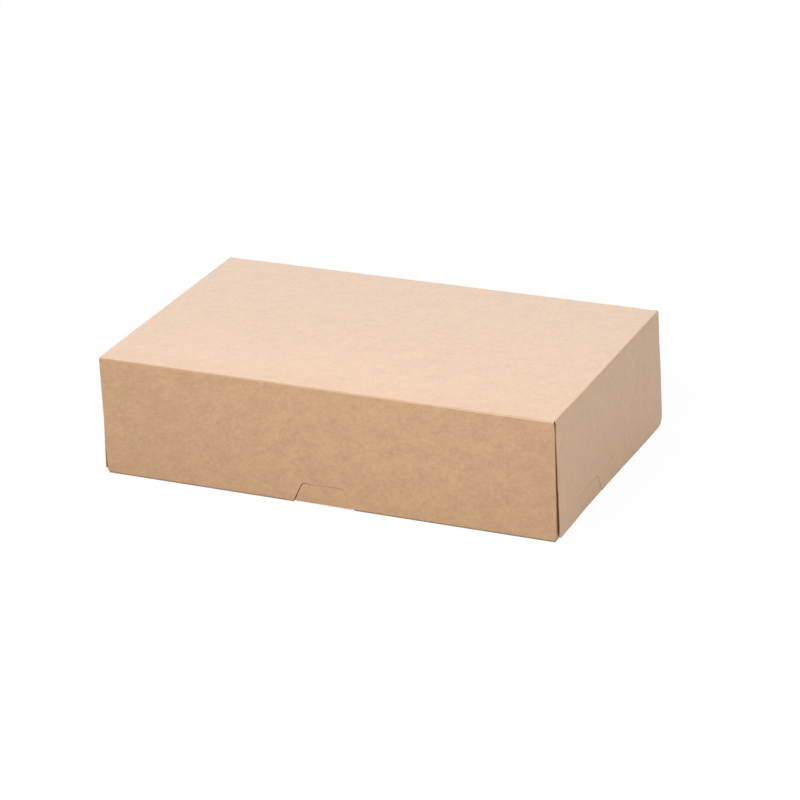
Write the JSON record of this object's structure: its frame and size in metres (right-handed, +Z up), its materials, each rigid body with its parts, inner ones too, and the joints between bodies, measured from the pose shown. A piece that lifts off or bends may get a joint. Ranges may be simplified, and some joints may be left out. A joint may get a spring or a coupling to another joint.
{
  "type": "cake carton",
  "caption": "Low rectangular folded-board cake carton: a glued tray under a hinged lid whose hanging flaps have lock tabs that push into slots in the tray.",
  "frame": {"origin": "on the table under the middle of the closed carton, at the bottom centre of its bounding box", "axes": "+X along the carton's length to the right seen from the front, +Y from the front flap to the hinged rear wall, +Z up through the lid"},
  "size_m": [0.2348, 0.14, 0.06],
  "materials": {
    "kraft_outside": "matt uncoated kraft paperboard, light brown, fine fibres",
    "kraft_inside": "matt uncoated kraft paperboard, inner side",
    "glue": "dried carton glue, milky"
  },
  "bodies": {
    "tray": {"floor_panel": "kraft_inside", "front_wall": "kraft_outside", "rear_wall": "kraft_outside", "left_wall": "kraft_outside", "right_wall": "kraft_outside", "front_left_glue_tab": "kraft_inside", "front_right_glue_tab": "kraft_inside", "rear_left_glue_tab": "kraft_inside", "rear_right_glue_tab": "kraft_inside", "front_left_glue_seam": "glue", "front_right_glue_seam": "glue", "rear_left_glue_seam": "glue", "rear_right_glue_seam": "glue"},
    "lid": {"lid_panel": "kraft_outside"},
    "front_flap": {"front_flap": "kraft_outside"},
    "left_flap": {"left_flap": "kraft_outside"},
    "right_flap": {"right_flap": "kraft_outside"},
    "front_lock": {"front_lock": "kraft_outside"},
    "left_lock": {"left_lock": "kraft_outside"},
    "right_lock": {"right_lock": "kraft_outside"}
  },
  "joints": [
    {"name": "lid_hinge", "type": "hinge", "parent": "tray", "child": "lid", "pos_m": [0, 0.07, 0.06], "axis": [-1, 0, 0], "range_deg": [0, 175]},
    {"name": "front_flap_crease", "type": "hinge", "parent": "lid", "child": "front_flap", "pos_m": [0, -0.07, 0.06], "axis": [-1, 0, 0], "range_deg": [0, 90]},
    {"name": "left_flap_crease", "type": "hinge", "parent": "lid", "child": "left_flap", "pos_m": [-0.115, 0, 0.06], "axis": [0, 1, 0], "range_deg": [-2.3, 87.7]},
    {"name": "right_flap_crease", "type": "hinge", "parent": "lid", "child": "right_flap", "pos_m": [0.115, 0, 0.06], "axis": [0, -1, 0], "range_deg": [-2.3, 87.7]},
    {"name": "front_lock_crease", "type": "hinge", "parent": "front_flap", "child": "front_lock", "pos_m": [0, -0.0695, 0.0105], "axis": [1, 0, 0], "range_deg": [-5, 85]},
    {"name": "left_lock_crease", "type": "hinge", "parent": "left_flap", "child": "left_lock", "pos_m": [-0.11649, -0.027, 0.01052], "axis": [0, -1, 0], "range_deg": [-5, 85]},
    {"name": "right_lock_crease", "type": "hinge", "parent": "right_flap", "child": "right_lock", "pos_m": [0.11649, -0.027, 0.01052], "axis": [0, 1, 0], "range_deg": [-5, 85]}
  ]
}
